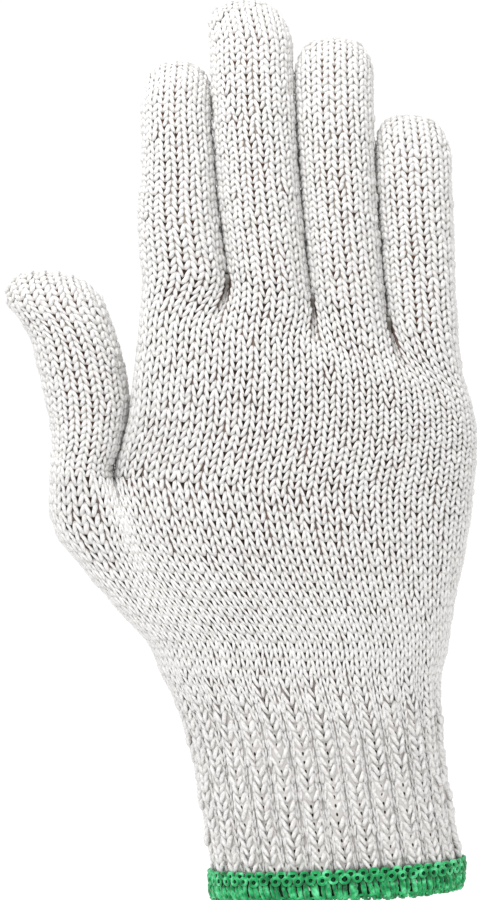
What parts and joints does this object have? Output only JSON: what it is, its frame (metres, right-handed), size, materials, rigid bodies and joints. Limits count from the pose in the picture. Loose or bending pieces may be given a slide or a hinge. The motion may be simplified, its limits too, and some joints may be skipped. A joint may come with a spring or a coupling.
{
  "type": "cotton work glove",
  "caption": "Seamless string-knit cotton work glove in its worn form, with a ribbed cuff and a green overlocked edge.",
  "frame": {"origin": "centre of the wrist opening, in the plane of the green overlocked edge", "axes": "+Z from the wrist opening up to the fingertips, +Y towards the palm side, -Y towards the back of the hand, -X towards the thumb"},
  "size_m": [0.1312, 0.0506, 0.2499],
  "materials": {
    "cotton_knit": "matt, soft off-white cotton string in plain knit",
    "rib_knit": "matt, soft off-white cotton string in mock rib",
    "green_overlock": "matt green overlock yarn"
  },
  "bodies": {
    "root": {"palm_shell": "cotton_knit", "index_finger": "cotton_knit", "middle_finger": "cotton_knit", "ring_finger": "cotton_knit", "little_finger": "cotton_knit", "thumb": "cotton_knit", "rib_cuff": "rib_knit", "overlock_edge": "green_overlock"}
  },
  "joints": []
}
